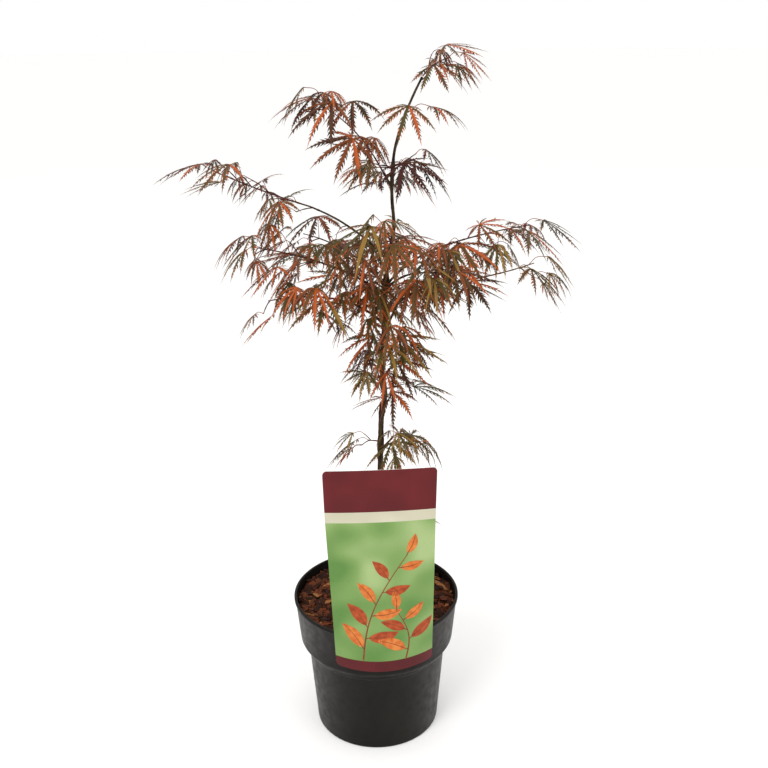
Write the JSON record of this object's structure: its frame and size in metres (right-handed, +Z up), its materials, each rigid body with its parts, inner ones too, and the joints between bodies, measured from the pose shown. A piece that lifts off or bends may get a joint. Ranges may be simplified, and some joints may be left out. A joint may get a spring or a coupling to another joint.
{
  "type": "potted japanese maple",
  "caption": "Young japanese maple with finely cut red leaves on a slender trunk, in a round nursery pot of bark mulch with a plant card on its rim.",
  "frame": {"origin": "centre of the pot's flat underside", "axes": "+Z up the trunk; -Y toward the front, where the card hangs; +X to the right seen from the front"},
  "size_m": [0.4399, 0.282, 0.7679],
  "materials": {
    "pot_plastic": "satin charcoal black",
    "mulch": "rough red-brown bark chips",
    "card": "glossy printed card in maroon, cream and green",
    "bark": "dark brown bark, slightly glossy",
    "leaf": "soft satin leaf in rust red, maroon and bronze green"
  },
  "bodies": {
    "root": {"pot": "pot_plastic", "mulch": "mulch", "card": "card", "trunk": "bark", "left_upper_bough": "bark", "left_middle_bough": "bark", "left_front_bough": "bark", "right_upper_bough": "bark", "right_lower_bough": "bark", "right_front_bough": "bark", "front_bough": "bark", "back_left_bough": "bark", "back_right_bough": "bark", "back_bough": "bark", "top_left_bough": "bark", "left_upper_spray": "leaf", "left_middle_spray": "leaf", "left_front_spray": "leaf", "right_upper_spray": "leaf", "right_lower_spray": "leaf", "right_front_spray": "leaf", "front_spray": "leaf", "back_left_spray": "leaf", "back_right_spray": "leaf", "back_spray": "leaf", "top_left_spray": "leaf", "leader_spray": "leaf", "centre_left_spray": "leaf", "centre_right_spray": "leaf", "front_low_spray": "leaf", "leader_side_spray": "leaf", "upper_right_spray": "leaf", "upper_left_spray": "leaf", "upper_back_spray": "leaf", "middle_right_spray": "leaf", "middle_left_spray": "leaf", "lower_right_spray": "leaf", "lower_left_spray": "leaf", "low_right_spray": "leaf", "low_left_spray": "leaf", "low_back_spray": "leaf", "foot_spray": "leaf"}
  },
  "joints": []
}
